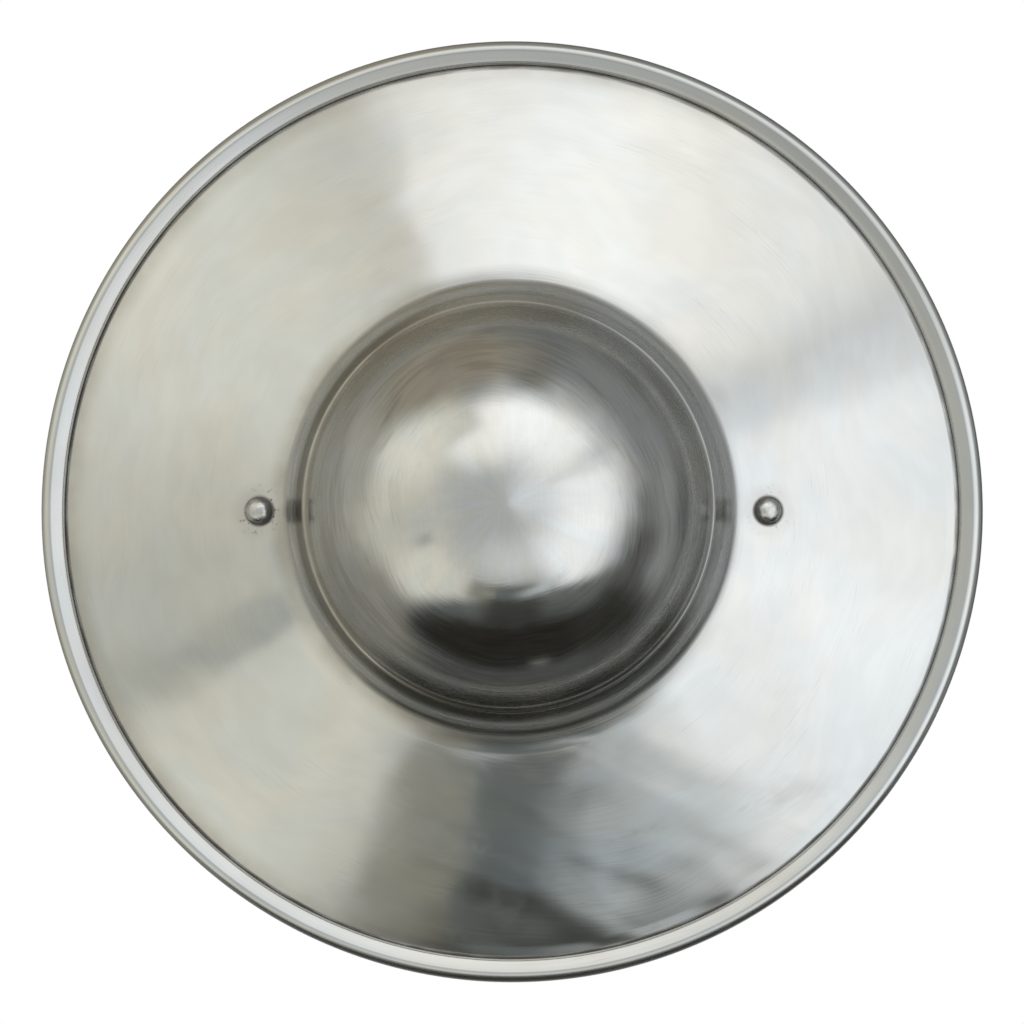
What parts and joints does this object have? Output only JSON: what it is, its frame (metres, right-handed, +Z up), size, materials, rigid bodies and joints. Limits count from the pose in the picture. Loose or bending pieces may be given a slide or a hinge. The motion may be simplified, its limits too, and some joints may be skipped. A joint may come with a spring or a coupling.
{
  "type": "buckler",
  "caption": "Round hand shield of polished steel sheet with a domed boss on a stepped foot, a conical plate, a rolled edge and a riveted bar grip behind the boss.",
  "frame": {"origin": "middle of the grip bar's thickness, on the axis of the boss and plate", "axes": "+Z up as the shield is held, -Y out of the face, X along the grip bar"},
  "size_m": [0.36, 0.1024, 0.36],
  "materials": {
    "plate_steel": "spun and polished steel, fine marks round the axis",
    "wire_steel": "drawn mild steel wire, hidden in the rolled edge",
    "bar_steel": "forged flat bar, dark scale brushed back on the faces",
    "grip_wood": "oiled ash",
    "grip_leather": "waxed vegetable-tanned leather, sewn along one side",
    "pin_steel": "plain steel pin, filed flush",
    "rivet_steel": "steel rivet, polished on the crown and dull round the edge",
    "rove_steel": "plain steel washer"
  },
  "bodies": {
    "root": {"face_plate": "plate_steel", "rim_wire": "wire_steel", "grip_bar": "bar_steel", "grip_scale_front": "grip_wood", "grip_scale_rear": "grip_wood", "grip_leather": "grip_leather", "grip_pin_left": "pin_steel", "grip_pin_right": "pin_steel", "rivet_left": "rivet_steel", "rivet_right": "rivet_steel", "rove_left": "rove_steel", "rove_right": "rove_steel"}
  },
  "joints": []
}
